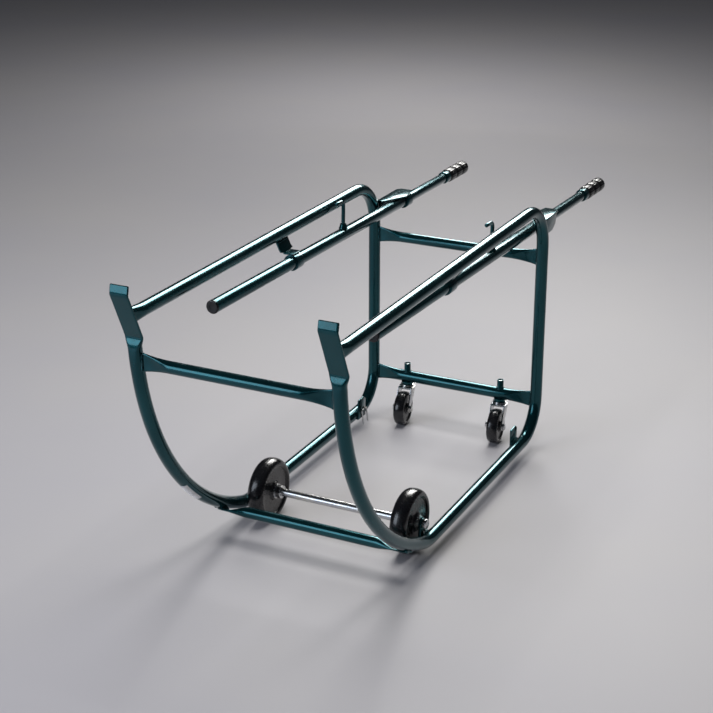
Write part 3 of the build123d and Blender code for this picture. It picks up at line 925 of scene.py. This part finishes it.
def gusset(name, side):
    """Rear gusset and its weld to the post."""
    node = name + "_guide_gusset"
    softened(node, 0.7, name + "_gusset_plate")
    top = box_mm(node)[1].z
    x = side * (RAIL_X - TUBE_R + 4.0)
    line = [(x, POST_Y + 11.8, top - 31.0), (x, POST_Y + 11.8, top - 2.0)]
    bead(name + "_gusset_post_weld", line, 2.2)


def fittings(name, side):
    """Axle ear, rail tab and wire staple on the bottom rail, with their welds."""
    softened(name + "_axle_lug", 0.7, name + "_axle_ear")
    softened(name + "_rail_lug", 0.6, name + "_rail_tab")
    lug_lo, lug_hi = box_mm(name + "_rail_lug")
    x = side * (RAIL_X - TUBE_R + 1.2)
    for k, z in enumerate((BOTTOM_Z + 8.5, BOTTOM_Z - 7.6)):
        line = [(x, lug_lo.y + 2, z), (x, lug_hi.y - 2, z)]
        bead(name + "_rail_tab_weld_" + str(k), line, 1.8)
    ear_lo, ear_hi = box_mm(name + "_axle_lug")
    x = side * (RAIL_X - 8.0)
    z = BOTTOM_Z + 10.6
    bead(name + "_ear_weld", [(x, ear_lo.y + 1, z), (x, ear_hi.y - 1, z)], 2.2)
    tab_t = 3.0
    wire_r = 1.7
    x = side * (RAIL_X - TUBE_R - tab_t - wire_r)
    route = [Vector((x, lug_lo.y + a, b)) for a, b in ((21, 9), (12, 46), (34, 46), (43, 9))]
    path = soften(route, 4.5, 6, False)
    stand_in(sweep(name + "_wire_bail", path, wire_r, 16), name + "_rail_staple")


def caster(name):
    """Caster fork, bolt, nut, socket, stem and ball race, and the socket's weld."""
    softened(name + "_caster_fork", 0.7, name + "_fork_plate")
    softened(name + "_caster_bolt", 0.45, name + "_fork_bolt")
    softened(name + "_caster_nut", 0.45, name + "_fork_nut")
    softened(name + "_caster_socket", 0.5, name + "_socket")
    softened(name + "_caster_stem", 0.5, name + "_stem")
    lo, hi = box_mm(name + "_caster_race")
    c = (lo + hi) / 2
    half = (hi.z - lo.z) / 2
    dome = [(-half, 5.6), (-half, 15.0), (-half + 0.7, 15.45), (-half + 2.2, 15.4), (-0.1, 14.4),
            (0.4, 14.5), (0.9, 14.9), (1.6, 14.6), (half - 0.5, 12.4), (half, 11.2), (half, 5.6)]
    race = turned(name + "_ball_race", dome, c, Vector((0, 0, 1)), 56, closed=True)
    stand_in(race, name + "_caster_race")
    ring = []
    for k in range(33):
        a = 2 * pi * k / 32
        across = SOCKET_R * sin(a)
        z = CASTER_BAR_Z + sqrt(TUBE_R ** 2 - across ** 2) + 0.3
        ring.append((c.x + SOCKET_R * cos(a), c.y + across, z))
    bead(name + "_socket_weld", ring, 1.5)


# Stage

# Camera: angles in degrees, and its place from the foot of the posts' plane in metres
CAMERA_AZ = 26.29
CAMERA_EL = 21.61
LENS_MM = 81.83
CAMERA_FROM_POST = Vector((1.2786, -3.0723, 1.4863))


def camera():
    data = bpy.data.cameras.new("camera")
    data.lens = LENS_MM
    data.sensor_width = 36.0
    cam = bpy.data.objects.new("camera", data)
    cam.location = CAMERA_FROM_POST + Vector((0, POST_Y * MM, 0))
    cam.rotation_euler = (radians(90 - CAMERA_EL), 0, radians(CAMERA_AZ))
    bpy.context.scene.collection.objects.link(cam)
    bpy.context.scene.camera = cam


def floor():
    """Flat floor, 40 m square, that isn't part of the object."""
    half = 20.0
    corners = [(-half, -half, 0), (half, -half, 0), (half, half, 0), (-half, half, 0)]
    mesh = bpy.data.meshes.new("floor")
    mesh.from_pydata(corners, [], [(0, 1, 2, 3)])
    mesh.materials.append(floor_paper())
    obj = bpy.data.objects.new("floor", mesh)
    bpy.context.scene.collection.objects.link(obj)


def area_light(name, position, target, size, power, colour):
    """Rectangular lamp: places and size in metres, power in watts."""
    data = bpy.data.lights.new(name, "AREA")
    data.energy = power
    data.color = colour
    data.shape = "RECTANGLE"
    data.size, data.size_y = size
    lamp = bpy.data.objects.new(name, data)
    lamp.location = position
    lamp.rotation_euler = (Vector(target) - Vector(position)).to_track_quat("-Z", "Y").to_euler()
    bpy.context.scene.collection.objects.link(lamp)
    return lamp


def lights():
    """Two panels that the enamel mirrors, and three lamps kept out of its reflections."""
    back = area_light("back_softbox", (-0.6, 2.9, 2.6), (-0.3, 0.4, 0.3), (1.9, 2.2), 190, (1.0, 0.985, 0.96))
    back.visible_diffuse = False
    area_light("front_panel", (-2.1, -3.7, 1.6), (0, -0.3, 0.4), (1.8, 2.3), 46, (0.80, 0.88, 1.0))
    fill = area_light("front_fill", (-2.6, -3.0, 1.3), (-0.4, -0.3, 0.3), (1.8, 1.8), 34, (0.84, 0.85, 1.0))
    fill.visible_glossy = False
    overhead = area_light("overhead", (-0.1, 0.08, 2.9), (-0.1, 0.08, 0), (1.9, 1.9), 60, (1.0, 0.985, 0.96))
    overhead.visible_glossy = False
    far = area_light("far_wash", (-1.5, 3.25, 1.7), (-1.5, 3.25, 0), (0.8, 0.8), 13.5, (1.0, 0.98, 0.96))
    far.visible_glossy = False
    bpy.context.scene.view_settings.view_transform = "Standard"
    world = bpy.data.worlds.new("studio")
    world.use_nodes = True
    background = world.node_tree.nodes["Background"]
    background.inputs["Color"].default_value = (0.80, 0.86, 1.0, 1)
    background.inputs["Strength"].default_value = 0.03
    bpy.context.scene.world = world


camera()
floor()
lights()
dress_cad_nodes()
axle_set()
front_wheels()
caster_wheels()
under_bar()
PLAIN_BARS = (("front_upper_crossbar", BAR), ("rear_upper_crossbar", BAR), ("rear_lower_crossbar", TUBE))
for bar_node, bar_od in PLAIN_BARS:
    bar_lo, bar_hi = box_mm(bar_node)
    bar_c = (bar_lo + bar_hi) / 2
    crossbar(bar_node, bar_c.y, bar_c.z, bar_od)
for side_name, side_sign in SIDES:
    side_frame(side_name, side_sign)
    rail_weld(side_name, side_sign)
    handle(side_name, side_sign)
    lock(side_name, side_sign)
    strap(side_name, side_sign)
    gusset(side_name, side_sign)
    fittings(side_name, side_sign)
    caster(side_name)
